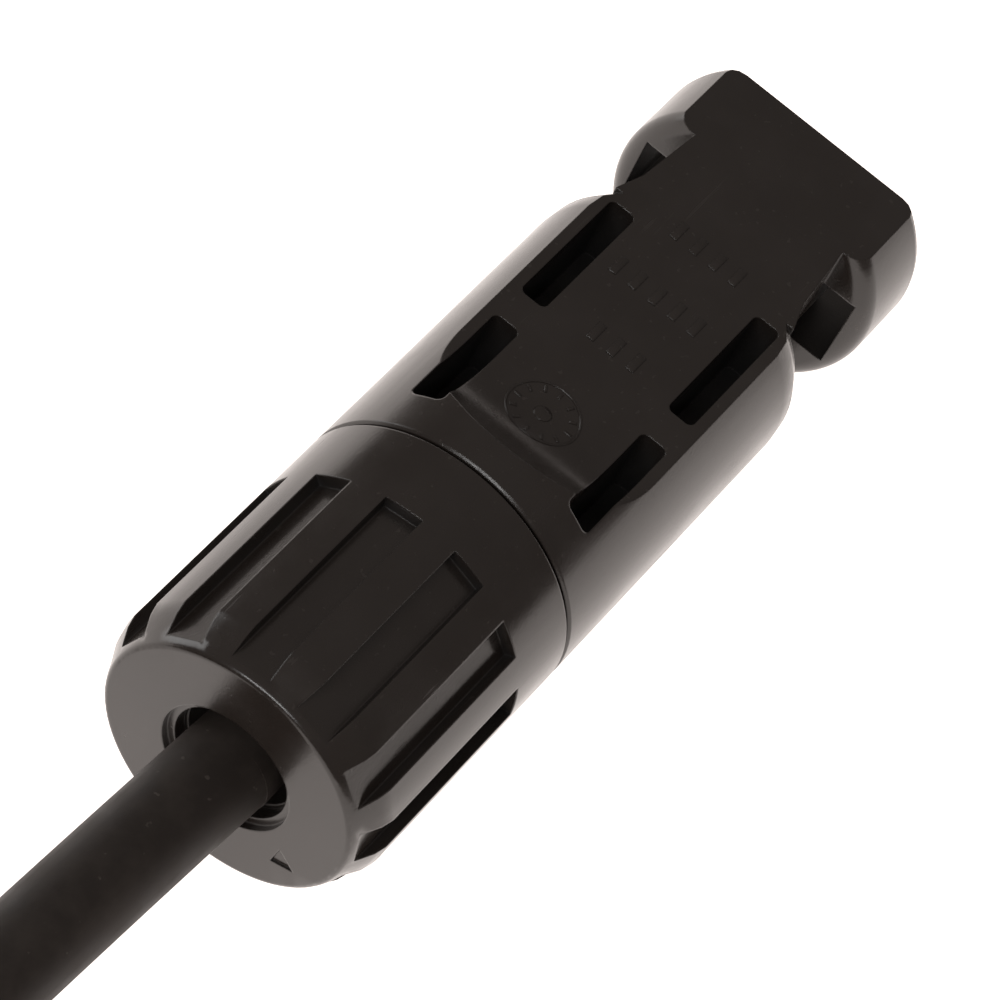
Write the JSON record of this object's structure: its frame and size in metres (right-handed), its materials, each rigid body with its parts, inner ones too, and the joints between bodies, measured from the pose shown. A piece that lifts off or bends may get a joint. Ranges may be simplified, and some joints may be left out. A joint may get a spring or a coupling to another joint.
{
  "type": "solar cable connector",
  "caption": "Round-bodied photovoltaic cable coupler, pin half, with flats, core slots, latch notches and a fluted gland nut closed on a black cable.",
  "frame": {"origin": "on the bench plane under the middle of the closed coupler: half way from the nut's rear face to the hood's front face, on the coupler's axis in Y, at the lowest point of the nut and housing", "axes": "+X along the axis from the cable side to the open mating hood, +Z out of the upper flat"},
  "size_m": [0.1473, 0.0761, 0.0221],
  "materials": {
    "shell_black": "satin moulded plastic",
    "nut_black": "satin moulded plastic",
    "cage_nylon": "satin moulded plastic",
    "seal_silicone": "dull silicone",
    "jacket_black": "dull cross-linked jacket",
    "core_black": "dull insulation",
    "tinned_copper": "tinned strands",
    "contact_plating": "tin-plated copper",
    "spring_steel": "spring steel",
    "tie_nylon": "nylon"
  },
  "bodies": {
    "shell": {"housing": "shell_black", "cable_seal": "seal_silicone", "outer_jacket": "jacket_black", "inner_insulation": "core_black", "conductor": "tinned_copper", "pin_contact": "contact_plating", "retaining_clip": "spring_steel", "lead_tube": "jacket_black", "lead_coil": "jacket_black", "end_insulation": "core_black", "end_conductor": "tinned_copper", "cable_tie": "tie_nylon"},
    "cage": {"clamp_cage": "cage_nylon"},
    "nut": {"gland_nut": "nut_black"}
  },
  "joints": [
    {"name": "cage_travel", "type": "slide", "parent": "shell", "child": "cage", "axis": [-1, 0, 0], "range_m": [0, 0.008]},
    {"name": "nut_turn", "type": "hinge", "parent": "cage", "child": "nut", "pos_m": [-0.01944, 0, 0.0096], "axis": [-1, 0, 0], "range_deg": [0, 1440.1]}
  ],
  "couplings": [
    {"joint": "nut_turn", "follows": "cage_travel", "rad_per_m": 3141.6}
  ]
}
